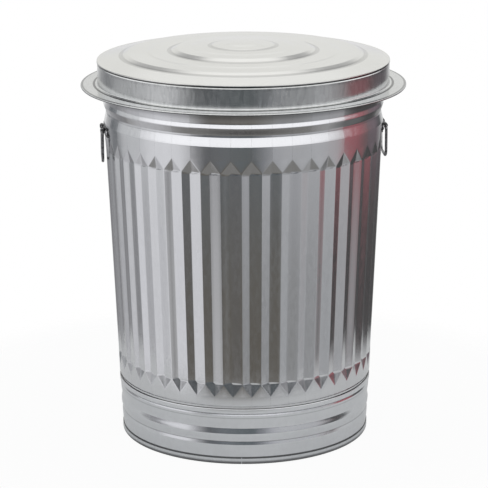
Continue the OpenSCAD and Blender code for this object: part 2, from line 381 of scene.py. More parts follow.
class Graph:
    """Short calls for adding nodes to a tree and joining them."""

    def __init__(self, tree: bpy.types.NodeTree) -> None:
        """Clears the tree and keeps it."""
        self.tree = tree
        tree.nodes.clear()

    def add(self, kind: str, inputs: Any = None, **settings: Any) -> bpy.types.Node:
        """Adds a node.

        Args:
            kind: the node's type, without its ShaderNode start.
            inputs: a dictionary of input names or numbers to values or output sockets.
            settings: properties of the node.

        Returns:
            The new node.
        """
        node = self.tree.nodes.new("ShaderNode" + kind)
        for key, value in settings.items():
            setattr(node, key, value)
        for key, value in (inputs or {}).items():
            socket = node.inputs[key]
            if isinstance(value, Socket):
                self.tree.links.new(value, socket)
            else:
                socket.default_value = value
        return node

    def sum(self, operation: str, *values: Any) -> Socket:
        """Adds a Math node on some values or sockets and returns its output."""
        return self.add("Math", dict(enumerate(values)), operation=operation).outputs[0]

    def scaled(self, vector: Socket, scale: Sequence[float]) -> Socket:
        """Multiplies a vector by a scale for each axis and returns the result."""
        return self.add("VectorMath", {0: vector, 1: tuple(scale)}, operation="MULTIPLY").outputs[0]

    def spread(self, value: Socket, lowest: float, highest: float) -> Socket:
        """Maps a value from 0 to 1 onto a range and returns the result."""
        return self.add("MapRange", {"Value": value, "To Min": lowest, "To Max": highest}).outputs[0]

    def eased(self, value: Socket, start: float, end: float) -> Socket:
        """Goes smoothly from 0 to 1 as a value goes from start to end, and returns the result."""
        ends = {"Value": value, "From Min": start, "From Max": end}
        return self.add("MapRange", ends, interpolation_type="SMOOTHSTEP").outputs[0]

    def noise(self, vector: Socket, scale: Sequence[float], detail: float) -> Socket:
        """Adds noise whose size along each axis is set by a scale, and returns its value."""
        place = self.scaled(vector, scale)
        return self.add("TexNoise", {"Vector": place, "Scale": 1.0, "Detail": detail}).outputs["Fac"]

    def metal(self, colour: Socket, rough: Socket, height: Socket) -> None:
        """Joins a metal's colour, roughness and height in millimetres to the tree's output."""
        bump = self.add("Bump", {"Height": height, "Strength": 1.0, "Distance": MM})
        looks = {"Base Color": colour, "Metallic": 1.0, "Roughness": rough, "Normal": bump.outputs["Normal"]}
        self.add("OutputMaterial", {"Surface": self.add("BsdfPrincipled", looks).outputs["BSDF"]})

    def tones(self, value: Socket, stops: Sequence[Stop]) -> Socket:
        """Adds a colour ramp.

        Args:
            value: what the ramp is read with.
            stops: place and colour of each stop.

        Returns:
            The ramp's colour.
        """
        ramp = self.add("ValToRGB", {"Fac": value})
        points = ramp.color_ramp.elements
        while len(points) > 1:
            points.remove(points[-1])
        points[0].position = stops[0][0]
        points[0].color = (*stops[0][1], 1.0)
        for place, colour in stops[1:]:
            points.new(place).color = (*colour, 1.0)
        return ramp.outputs["Color"]


def blank(name: str) -> Tuple[bpy.types.Material, Graph]:
    """Makes a material with an empty tree, and returns both."""
    material = bpy.data.materials.new(name)
    material.use_nodes = True
    return material, Graph(material.node_tree)


@dataclass(frozen=True)
class ShadeLine:
    """A line round the bin along which shade is painted into the metal's colour, in a lap, a groove, a fold
    or under an overhang.

    Attributes:
        radius: the line's radius in millimetres.
        height: the line's height in millimetres.
        reach: how far the painted shade spreads on each side.
        painted_shade: how much the painted shade darkens the metal, from 0 to 1.
        darkest_part: part of the reach over which the painted shade is at its darkest.
    """

    radius: float
    height: float
    reach: float
    painted_shade: float
    darkest_part: float = 0.45


@dataclass(frozen=True)
class ZincFinish:
    """Plated or galvanised sheet: soft streaks from rolling, crystal grain and uneven gloss.

    Attributes:
        name: the material's name.
        colour: the metal's colour.
        gloss: lowest and highest roughness.
        cloud: how much the colour varies in soft patches.
        streak_scale: places per metre across and along the rolling marks.
        streak: depth of the rolling marks in millimetres.
        grain_scale: places per metre across and along the crystal grain.
        grain: how much the crystals differ in colour.
        grain_bump: height of the crystals in millimetres.
    """

    name: str
    colour: Colour
    gloss: Tuple[float, float]
    cloud: float
    streak_scale: Tuple[float, float]
    streak: float
    grain_scale: Tuple[float, float]
    grain: float
    grain_bump: float

    def build(self, shade_lines: Sequence[ShadeLine] = ()) -> bpy.types.Material:
        """Makes the material.

        Args:
            shade_lines: lines along which shade is painted on the piece.

        Returns:
            The new material.
        """
        material, graph = blank(self.name)
        place = graph.add("TexCoord").outputs["Object"]
        across, along = self.streak_scale
        streaks = graph.noise(place, (across, across, along), 4.0)
        clouds = graph.noise(place, (9.0, 9.0, 5.0), 4.0)
        wide, tall = self.grain_scale
        cells = graph.add("TexVoronoi", {"Vector": graph.scaled(place, (wide, wide, tall)), "Scale": 1.0})
        crystal = graph.add("SeparateColor", {"Color": cells.outputs["Color"]}).outputs["Red"]
        patch = graph.spread(clouds, 1.0 - self.cloud, 1.0 + self.cloud)
        fleck = graph.spread(crystal, 1.0 - self.grain, 1.0 + self.grain)
        tone = graph.sum("MULTIPLY", patch, fleck)
        if shade_lines:
            # Painted shade: the colour is darkened along the given lines, where shade falls in folds and
            # under overhangs.
            tone = graph.sum("MULTIPLY", tone, self.shade_factor(graph, place, shade_lines))
        colour = graph.add("VectorMath", {0: self.colour, "Scale": tone}, operation="SCALE").outputs[0]
        mixed = graph.sum("MULTIPLY_ADD", streaks, 0.55, graph.sum("MULTIPLY", crystal, 0.45))
        marks = graph.sum("MULTIPLY", streaks, self.streak)
        height = graph.sum("MULTIPLY_ADD", crystal, self.grain_bump, marks)
        graph.metal(colour, graph.spread(mixed, *self.gloss), height)
        return material

    @staticmethod
    def shade_factor(graph: Graph, place: Socket, shade_lines: Sequence[ShadeLine]) -> Socket:
        """Adds the nodes that paint shade into the metal's colour along some lines.

        Args:
            graph: the material's node tree.
            place: the point on the piece.
            shade_lines: the lines along which shade is painted.

        Returns:
            1 where no shade is painted, and less along a line.
        """
        axes = graph.add("SeparateXYZ", {0: place}).outputs
        squares = graph.sum("MULTIPLY_ADD", axes[0], axes[0], graph.sum("MULTIPLY", axes[1], axes[1]))
        here = graph.add("CombineXYZ", {0: graph.sum("SQRT", squares), 2: axes[2]}).outputs[0]
        unshaded = None
        for shade_line in shade_lines:
            line = (shade_line.radius * MM, 0.0, shade_line.height * MM)
            away = graph.add("VectorMath", {0: here, 1: line}, operation="DISTANCE").outputs["Value"]
            fade = graph.eased(away, shade_line.darkest_part * shade_line.reach * MM, shade_line.reach * MM)
            edge = graph.spread(fade, 1.0 - shade_line.painted_shade, 1.0)
            unshaded = edge if unshaded is None else graph.sum("MULTIPLY", unshaded, edge)
        return unshaded


@dataclass(frozen=True)
class SteelFinish:
    """Plated wire, strap or rivet: darker and duller where it has been drawn, folded or struck.

    Attributes:
        name: the material's name.
        colour: the metal's colour where it is clean.
        tarnish: colour of the dull patches.
        gloss: lowest and highest roughness.
        scale: patches per metre.
        mark: depth of the tool marks in millimetres.
    """

    name: str
    colour: Colour
    tarnish: Colour
    gloss: Tuple[float, float]
    scale: float
    mark: float

    def build(self) -> bpy.types.Material:
        """Makes the material, or returns it if it is there already."""
        if self.name in bpy.data.materials:
            return bpy.data.materials[self.name]
        material, graph = blank(self.name)
        place = graph.add("TexCoord").outputs["Object"]
        patches = graph.noise(place, (self.scale,) * 3, 5.0)
        marks = graph.noise(place, (self.scale * 6,) * 3, 3.0)
        colour = graph.tones(patches, [(0.35, self.tarnish), (0.62, self.colour)])
        mixed = graph.sum("MULTIPLY_ADD", marks, 0.5, graph.sum("MULTIPLY", patches, 0.5))
        rough = graph.spread(mixed, self.gloss[1], self.gloss[0])
        graph.metal(colour, rough, graph.sum("MULTIPLY", marks, self.mark))
        return material


Finish = Union[ZincFinish, SteelFinish]

BRIGHT_SHEET = ZincFinish(
    name="bright_sheet", colour=(0.70, 0.705, 0.72), gloss=(0.10, 0.20), cloud=0.05,
    streak_scale=(420.0, 9.0), streak=0.004, grain_scale=(260.0, 90.0), grain=0.02, grain_bump=0.0004,
)
BRIGHT_BASE = ZincFinish(
    name="bright_base", colour=(0.72, 0.73, 0.75), gloss=(0.06, 0.13), cloud=0.06,
    streak_scale=(300.0, 30.0), streak=0.004, grain_scale=(220.0, 120.0), grain=0.02, grain_bump=0.0005,
)
LID_TOP_SHEET = ZincFinish(
    name="lid_top_sheet", colour=(0.77, 0.77, 0.75), gloss=(0.13, 0.22), cloud=0.05,
    streak_scale=(60.0, 60.0), streak=0.003, grain_scale=(200.0, 200.0), grain=0.012, grain_bump=0.0,
)
COLLAR_SHEET = ZincFinish(
    name="collar_sheet", colour=(0.64, 0.65, 0.65), gloss=(0.14, 0.26), cloud=0.06,
    streak_scale=(520.0, 26.0), streak=0.006, grain_scale=(300.0, 80.0), grain=0.07, grain_bump=0.001,
)
PAN_SHEET = ZincFinish(
    name="pan_sheet", colour=(0.60, 0.61, 0.61), gloss=(0.32, 0.50), cloud=0.08,
    streak_scale=(120.0, 120.0), streak=0.010, grain_scale=(120.0, 120.0), grain=0.07, grain_bump=0.002,
)
WIRE = SteelFinish(
    name="drawn_wire", colour=(0.34, 0.34, 0.35), tarnish=(0.10, 0.10, 0.10),
    gloss=(0.20, 0.40), scale=300.0, mark=0.012,
)
STRAP = SteelFinish(
    name="pressed_strap", colour=(0.16, 0.16, 0.17), tarnish=(0.05, 0.05, 0.05),
    gloss=(0.24, 0.46), scale=160.0, mark=0.015,
)
RIVET = SteelFinish(
    name="rivet_head", colour=(0.66, 0.66, 0.68), tarnish=(0.40, 0.40, 0.41),
    gloss=(0.22, 0.40), scale=420.0, mark=0.02,
)


def dress(obj: bpy.types.Object, finish: Finish, shade_lines: Sequence[ShadeLine] = ()) -> None:
    """Gives a piece its finish.

    Args:
        obj: the piece.
        finish: the finish to build.
        shade_lines: where shade is painted, on sheet only.
    """
    obj.data.materials.append(finish.build(shade_lines) if shade_lines else finish.build())


def stand_in(obj: bpy.types.Object, body: Body, *nodes: str) -> bpy.types.Object:
    """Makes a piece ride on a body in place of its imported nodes, and returns it."""
    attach(obj, body.value)
    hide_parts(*nodes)
    count = len(obj.data.polygons)
    LOG.info("%s rides on %s for %s, %d faces", obj.name, body.value, ", ".join(nodes), count)
    return obj


# Drum ------------------------------------------------------------------------------------------


@dataclass
class Drum:
    """The tapered fluted drum, rolled over a wire at the rim and tucked into the base band.

    Attributes:
        top_r: radius of the wall where the neck starts.
        foot_r: radius of the wall where the base band starts.
        foot_z: height at which the base band starts.
        neck_h: from the rim's top down to the start of the neck.
        thickness: the sheet's thickness.
        flutes: number of flutes.
        flute_depth: how deep the long part of a flute is pressed.
        flute_top_gap: from the start of the neck down to the flutes' upper points.
        flute_foot_gap: from the base band up to their lower points.
        point_h: height of a flute's pointed end.
        valley: place of a flute's deepest line, as a part of its width from its left edge.
        point_deeper: how much deeper the pointed ends are pressed, as a part of the depth.
        flute_start: direction of the first flute's edge, in degrees.
        crease: half width of a fold.
        groove: sets how deep the neck's hollow is rolled.
        wire_r: inner radius of the rolled rim.
        wave: depth of the slow waves in the wall.
        mean_r: radius at which the width of a flute is measured.
    """

    top_r: float = 225.5
    foot_r: float = 207.3
    foot_z: float = 101.0
    neck_h: float = 96.5
    thickness: float = 0.7
    flutes: int = 44
    flute_depth: float = 3.0
    flute_top_gap: float = 22.2
    flute_foot_gap: float = 13.0
    point_h: float = 20.5
    valley: float = 0.4
    point_deeper: float = 0.03
    flute_start: float = 2.7
    crease: float = 1.1
    groove: float = 2.7
    wire_r: float = 2.05
    wave: float = 0.05
    mean_r: float = 216.0

    def __post_init__(self) -> None:
        """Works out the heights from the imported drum."""
        self.rim_top = high("body_shell")[2]
        self.tuck_z = low("body_shell")[2]
        self.neck_z = self.rim_top - self.neck_h
        self.rim_z = self.rim_top - self.thickness - self.wire_r
        self.rim_r = high("rim_wire")[0] - self.wire_r + SEAT_GAP
        self.flute_top = self.neck_z - self.flute_top_gap
        self.flute_foot = self.foot_z + self.flute_foot_gap

    def wall_r(self, z: float) -> float:
        """Radius of the plain wall at a height."""
        return self.foot_r + (self.top_r - self.foot_r) * (z - self.foot_z) / (self.neck_z - self.foot_z)

    def outline(self) -> np.ndarray:
        """The drum's outer face from its tucked foot to the end of the rolled rim."""
        top, z, g = self.top_r, self.neck_z, self.groove
        foot = rounded([
            (self.foot_r - 2.2, self.tuck_z, 0.0),
            (self.foot_r - 2.2, self.foot_z - 4.0, 2.0),
            (self.foot_r, self.foot_z, 3.0),
            (self.wall_r(self.flute_foot - 2.0), self.flute_foot - 2.0, 0.0),
        ])
        steps = [self.point_h * k / 13 for k in range(14)]
        steps += [self.point_h + k for k in (0.5, 1.0, 1.6, 2.4, 3.4)]
        straight = self.flute_top - self.flute_foot - 2 * steps[-1]
        rows = [self.flute_foot + k for k in steps]
        rows += [rows[-1] + straight * k / 20 for k in range(1, 20)]
        rows += [self.flute_top - k for k in reversed(steps)]
        wall = np.array([(self.wall_r(row), row) for row in rows])
        neck = rounded([
            (self.wall_r(self.flute_top + 2.0), self.flute_top + 2.0, 0.0),
            (top, z, 2.0),
            (top - 1.15 * g, z + 14.5, 3.0),
            (top - 1.15 * g, z + 18.0, 5.0),
            (top + 0.8, z + 28.5, 3.0),
            (top - 0.8, z + 35.5, 4.0),
            (top + 1.2, z + 49.0, 14.0),
            (top + 2.9, z + 60.0, 10.0),
            (top + 2.9, self.rim_z, 0.0),
        ], 4.0)
        curl = arc((self.rim_r, self.rim_z), self.wire_r, 180.0, -150.0)
        return np.vstack([foot, wall, dense(neck, 4.0), curl[1:]])

    def strength(self, z: np.ndarray) -> np.ndarray:
        """How far the flutes are pressed in at each height, from 0 at their points to 1."""
        rise = np.minimum(z - self.flute_foot, self.flute_top - z) / self.point_h
        soft = 0.02
        return np.clip(self.eased(rise, soft) - self.eased(rise - 1.0, soft), 0.0, 1.0)

    def past_point(self, z: np.ndarray) -> np.ndarray:
        """How far each height is past a flute's pointed end, from 0 in it to 1 in the long part."""
        rise = np.minimum(z - self.flute_foot, self.flute_top - z) - self.point_h
        return np.clip(rise / 2.4, 0.0, 1.0)

    @staticmethod
    def eased(x: np.ndarray, soft: Any) -> np.ndarray:
        """A ramp that is 0 below 0 and x above it, with its corner rounded over soft on each side."""
        inside = (x + soft) ** 2 / (4.0 * soft)
        return np.where(x < -soft, 0.0, np.where(x > soft, x, inside))

    def columns(self, s: np.ndarray, past: np.ndarray) -> np.ndarray:
        """Places across one flute where each row has a vertex.

        Args:
            s: strength of the flute in each row.
            past: how far each row is past the pointed end.

        Returns:
            The places as parts of the flute's pitch, a row for each row.
        """
        s = s[:, None]
        left, right = 0.5 - 0.5 * s, 0.5 + 0.5 * s
        mid = 0.5 + (self.valley - 0.5) * past[:, None]
        w = self.soft(s)
        knots = [0.0 * s, left - w, left - 0.4 * w, left + 0.4 * w, left + w, (left + mid) / 2, mid - w,
                 mid - 0.4 * w, mid + 0.4 * w, mid + w, (2 * mid + right) / 3, (mid + 2 * right) / 3,
                 right - w, right - 0.4 * w, right + 0.4 * w, right + w]
        places = np.hstack(knots)
        order = np.arange(places.shape[1])
        thin = 0.002
        places = np.maximum(places, order * thin)
        return np.minimum(places, 1.0 - (len(order) - order) * thin)

    def soft(self, s: np.ndarray) -> np.ndarray:
        """Half width of a crease as a part of the pitch, less where the flute is narrow."""
        pitch = TURN * self.mean_r / self.flutes
        narrow = 0.4 * np.maximum(s, 0.02) * min(self.valley, 1 - self.valley)
        return np.minimum(self.crease / pitch, narrow)

    def pressed(self, t: np.ndarray, s: np.ndarray, past: np.ndarray) -> np.ndarray:
        """Depth of the flutes below the plain wall.

        Args:
            t: place across a flute, as a part of its pitch.
            s: strength of the flute in the same row.
            past: how far the row is past the pointed end.

        Returns:
            The depth in millimetres.
        """
        s = np.maximum(s[:, None], 1e-4)
        past = past[:, None]
        left, right = 0.5 - 0.5 * s, 0.5 + 0.5 * s
        mid = 0.5 + (self.valley - 0.5) * past
        w = self.soft(s)
        deep = self.flute_depth * s * (1.0 + self.point_deeper * (1.0 - past))
        fall, rise = deep / (mid - left), deep / (right - mid)
        pitch = TURN * self.mean_r / self.flutes
        total = np.zeros_like(t)
        for shift in (-1.0, 0.0, 1.0):
            x = t + shift
            total += fall * self.eased(x - left, w) - (fall + rise) * self.eased(x - mid, w)
            total += rise * self.eased(x - right, w)
            for a, b in ((left, mid), (mid, right)):
                bow = np.maximum(x - a, 0.0) * np.maximum(b - x, 0.0)
                total += bow * pitch ** 2 / (2.0 * self.mean_r)
        return total

    def waves(self, angles: np.ndarray, height: np.ndarray) -> np.ndarray:
        """Depth of the slow waves that rolling leaves in the wall, none at its two ends.

        Args:
            angles: direction of each vertex, in radians.
            height: height of each row, as a column.

        Returns:
            The depth in millimetres.
        """
        slow = np.sin(3 * angles + 1.3) * np.sin(height / 71.0)
        quick = 0.6 * np.sin(7 * angles + height / 47.0)
        above_foot = np.clip((height - self.foot_z) / 20.0, 0, 1)
        below_rim = np.clip((self.rim_z - 30.0 - height) / 30.0, 0, 1)
        return self.wave * (slow + quick) * (above_foot * below_rim)

    def build(self) -> bpy.types.Object:
        """Makes the drum as one closed sheet."""
        outer = self.outline()
        inner = beside(outer, self.thickness)
        s = self.strength(outer[:, 1])
        s[(outer[:, 1] < self.flute_foot) | (outer[:, 1] > self.flute_top)] = 0.0
        past = self.past_point(outer[:, 1])
        t = self.columns(s, past)
        depth = self.pressed(t, s, past) * (s > 0.0)[:, None]
        flute = np.arange(self.flutes)
        places = (flute[None, :, None] + t[:, None, :]).reshape(len(s), -1)
        depth = np.tile(depth, (1, self.flutes))
        angles = math.radians(self.flute_start) + places * TURN / self.flutes
        depth = depth + self.waves(angles, outer[:, 1:])
        rows = []
        plain = (s == 0.0) | (np.arange(len(s)) % 3 == 0)
        for face, keep in ((outer, np.ones(len(s), bool)), (inner, plain)):
            radius = face[keep, :1] - depth[keep]
            angle = angles[keep]
            up = np.broadcast_to(face[keep, 1:], radius.shape)
            rows.append(np.stack([radius * np.cos(angle), radius * np.sin(angle), up], axis=-1))
        grid = np.concatenate([rows[0], rows[1][::-1]])
        faces = [grid_faces(len(grid), grid.shape[1], True, True)]
        obj = mesh_object("fluted_drum", [(grid.reshape(-1, 3), faces)], 50.0)
        joint_z = high("base_band")[2]
        # Painted shade: a thin dark line in the lap at the base band, and a wide painted shadow of the lid's
        # brim round the neck.
        dress(obj, BRIGHT_SHEET, [
            ShadeLine(self.wall_r(joint_z), joint_z + 0.6, 1.6, 0.8),
            ShadeLine(self.top_r + 1.8, self.neck_z + 55.0, 16.0, 0.4),
        ])
        return stand_in(obj, Body.BIN, "body_shell")


# Base ------------------------------------------------------------------------------------------


@dataclass
class Base:
    """The beaded base band, the hoop that the bin stands on, and the floor pan inside them.

    Attributes:
        thickness: thickness of the band's sheet.
        hoop_t: thickness of the hoop.
        hoop_h: height of the hoop.
        groove: depth of the band's two grooves.
        joint_w: gap between the hoop's two ends.
        joint_angle: direction of that gap, in degrees.
        ridge_out: how far the folded ridge stands out from the band.
        foot_in: how far the band's foot is set in.
        pan_dish: how far the pan's middle is raised.
        pan_t: thickness of the pan.
    """

    thickness: float = 0.7
    hoop_t: float = 0.9
    hoop_h: float = 11.5
    groove: float = 2.0
    joint_w: float = 0.8
    joint_angle: float = -96.0
    ridge_out: float = 1.4
    foot_in: float = 3.5
    pan_dish: float = 3.0
    pan_t: float = 0.8

    def __post_init__(self) -> None:
        """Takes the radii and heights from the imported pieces."""
        self.ridge_top = high("base_band")[2]
        self.band_r = high("base_band")[0] - self.ridge_out
        self.foot_r = self.band_r - self.foot_in
        self.hoop_r = high("foot_hoop")[0]
        self.pan_r = high("bottom_pan")[0]

    def band(self) -> bpy.types.Object:
        """Makes the base band with its two grooves and the folded ridge at its top."""
        r, top, g = self.band_r, self.ridge_top, self.groove
        path = rounded([
            (self.foot_r, low("base_band")[2], 0.0),
            (self.foot_r, self.hoop_h + 2.0, 6.0),
            (r - 2.1, 33.0, 1.5),
            (r - 1.1 - g, 38.2, 2.0),
            (r - 1.0 - g, 41.0, 3.0),
            (r - 1.0, 47.0, 4.0),
            (r - 0.7, 51.8, 1.2),
            (r - 0.2 - g, 60.6, 2.0),
            (r - 0.1 - g, 62.5, 3.0),
            (r - 0.6, 71.0, 3.0),
            (r - 0.1, 78.0, 1.0),
            (r + 0.3, 82.0, 0.8),
            (r - 0.4, 84.8, 0.5),
            (r + 1.2, top - 7.6, 1.0),
            (r + self.ridge_out, top - 1.2, 1.1),
            (r + 0.1, top, 0.6),
            (r - 0.5, top - 0.1, 0.0),
        ], 6.0)
        obj = mesh_object("base_band_sheet", [turned(sheet(dense(path, 6.0), self.thickness), 224)])
        # Painted shade in the folded ridge at the top, along the beads, in the lower groove and at the foot
        # above the hoop.
        dress(obj, BRIGHT_BASE, [
            ShadeLine(r + 0.2, top + 0.2, 1.5, 0.85), ShadeLine(r + 0.2, 78.0, 1.0, 0.3), ShadeLine(r, 84.8, 1.0, 0.4),
            ShadeLine(r - 1.1 - g, 38.2, 1.1, 0.35), ShadeLine(self.foot_r, self.hoop_h + 0.4, 1.2, 0.7),
        ])
        return stand_in(obj, Body.BIN, "base_band")

    def hoop(self) -> bpy.types.Object:
        """Makes the foot hoop, an angle section bent round with its ends meeting at a joint."""
        lip = self.pan_r - self.pan_t - 4.0
        outer, t = self.hoop_r, self.hoop_t
        path = rounded([
            (outer - t, self.hoop_h, 0.0),
            (outer, self.hoop_h, 0.35),
            (outer, 0.0, 3.2),
            (lip, 0.0, 0.0),
        ])
        inside = rounded([(lip, t, 0.0), (outer - t, t, 2.3), (outer - t, self.hoop_h - 0.5, 0.0)])
        opening = 2 * math.asin(self.joint_w / 2 / outer)
        start = math.radians(self.joint_angle) + opening / 2
        obj = mesh_object("foot_hoop_angle", [turned(np.vstack([path, inside]), 224, opening, start)])
        # Painted shade along the hoop's top edge, and a wide painted contact shadow round its foot on the
        # floor.
        dress(obj, BRIGHT_BASE, [
            ShadeLine(outer, self.hoop_h, 2.4, 0.85), ShadeLine(outer - 1.0, 0.6, 6.5, 0.7),
        ])
        return stand_in(obj, Body.BIN, "foot_hoop")

    def pan(self) -> bpy.types.Object:
        """Makes the floor pan, with its raised middle and its turned-down edge."""
        r = self.pan_r
        top = high("bottom_pan")[2]
        path = rounded([
            (0.0, top, 0.0),
            (0.6 * r, top, 14.0),
            (0.66 * r, top - self.pan_dish, 14.0),
            (r, top - self.pan_dish, 2.0),
            (r, low("bottom_pan")[2], 0.0),
        ])
        under = beside(dense(path, 12.0), -self.pan_t)[::-1]
        under[-1, 0] = 0.0
        obj = mesh_object("floor_pan", [turned(np.vstack([dense(path, 12.0), under]), 160)])
        dress(obj, PAN_SHEET)
        return stand_in(obj, Body.BIN, "bottom_pan")


# Lid -------------------------------------------------------------------------------------------


@dataclass
class Lid:
    """The loose lid: a stepped top hemmed over a collar, with a flat brim rolled round a wire.

    Attributes:
        thickness: thickness of both sheets.
        dome_h: height of the top over its corner.
        hem_h: how far the top is folded down over the collar.
        brim_bend: radius of the bend between the collar and the brim.
        flange_in: inner radius of the flange that the top lies on.
    """

    thickness: float = 0.7
    dome_h: float = 24.6
    hem_h: float = 3.0
    brim_bend: float = 4.0
    flange_in: float = 226.65

    def __post_init__(self) -> None:
        """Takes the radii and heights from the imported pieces."""
        self.corner_r = high("lid_panel")[0]
        self.corner_z = high("lid_panel")[2] - self.dome_h
        self.collar_r = self.corner_r - SEAT_GAP - self.thickness
        self.brim_r = high("lid_collar")[0]
        self.flange_z = self.corner_z - 2 * self.thickness
        wire_top, wire_foot = high("lid_edge_wire")[2], low("lid_edge_wire")[2]
        self.roll_r = (wire_top - wire_foot) / 2 + SEAT_GAP + self.thickness
        self.brim_z = (wire_top + wire_foot) / 2 + self.roll_r + SEAT_GAP

    def top(self) -> bpy.types.Object:
        """Makes the lid's stepped top with the hem that grips the collar."""
        r, z, h = self.corner_r, self.corner_z, self.dome_h
        path = rounded([
            (0.0, z + h, 0.0),
            (0.095 * r, z + 0.985 * h, 2.0),
            (0.118 * r, z + 0.925 * h, 2.0),
            (0.205 * r, z + 0.905 * h, 2.0),
            (0.228 * r, z + 0.84 * h, 2.0),
            (0.335 * r, z + 0.80 * h, 3.0),
            (0.352 * r, z + 0.765 * h, 3.0),
            (0.455 * r, z + 0.73 * h, 4.0),
            (0.505 * r, z + 0.53 * h, 4.0),
            (0.64 * r, z + 0.52 * h, 4.0),
            (0.658 * r, z + 0.47 * h, 3.0),
            (0.79 * r, z + 0.44 * h, 5.0),
            (0.835 * r, z + 0.27 * h, 5.0),
            (self.collar_r - 4.0, z, 6.0),
            (r - 0.2, z, 0.8),
            (r, z - self.hem_h, 0.0),
        ], 4.0)
        path = dense(path, 5.0)
        under = beside(path, -self.thickness)[::-1]
        under[-1, 0] = 0.0
        obj = mesh_object("lid_top", [turned(np.vstack([path, under]), 224)])
        # Painted shade under the hem's edge and at the foot of three steps.
        dress(obj, LID_TOP_SHEET, [
            ShadeLine(r, z - self.hem_h, 1.7, 0.85), ShadeLine(0.228 * r, z + 0.84 * h, 5.0, 0.22),
            ShadeLine(0.505 * r, z + 0.53 * h, 5.0, 0.24), ShadeLine(0.835 * r, z + 0.27 * h, 5.0, 0.25),
        ])
        return stand_in(obj, Body.LID, "lid_panel")

    def collar(self) -> bpy.types.Object:
        """Makes the collar with its inner flange, the flat brim and the rolled edge."""
        seam_z = self.corner_z - self.hem_h
        toe = self.brim_bend + 0.8
        roll_in = self.brim_r - self.roll_r
        path = rounded([
            (self.flange_in, self.flange_z + self.thickness, 0.0),
            (self.collar_r - 0.6, self.flange_z + self.thickness, 0.5),
            (self.collar_r - 0.6, seam_z - 1.3, 0.4),
            (self.collar_r, seam_z - 2.7, 1.0),
            (self.collar_r, self.brim_z + 0.5, self.brim_bend),
            (self.collar_r + toe, self.brim_z + 0.4, 0.4),
            (self.collar_r + toe + 0.8, self.brim_z - 0.1, 0.6),
            (self.collar_r + toe + 2.2, self.brim_z, 1.0),
            (roll_in - 1.6, self.brim_z, 0.5),
            (roll_in - 0.8, self.brim_z - 0.25, 0.4),
            (roll_in, self.brim_z, 0.0),
        ], 6.0)
        roll = arc((roll_in, self.brim_z - self.roll_r), self.roll_r, 90.0, -190.0)
        path = np.vstack([dense(path, 5.0), roll[1:]])
        obj = mesh_object("lid_collar_sheet", [turned(sheet(path, -self.thickness), 224)])
        # Painted shade under the hem, in the crease where the collar bends into the brim, in the groove
        # before the roll and on the underside of the roll.
        dress(obj, COLLAR_SHEET, [
            ShadeLine(self.collar_r - 0.5, seam_z, 1.5, 0.9),
            ShadeLine(self.collar_r + toe + 0.8, self.brim_z, 2.6, 0.85),
            ShadeLine(roll_in - 0.9, self.brim_z, 2.2, 0.6),
            ShadeLine(self.brim_r, self.brim_z - 3.4, 1.8, 0.8),
        ])
        return stand_in(obj, Body.LID, "lid_collar")


# Handles ---------------------------------------------------------------------------------------


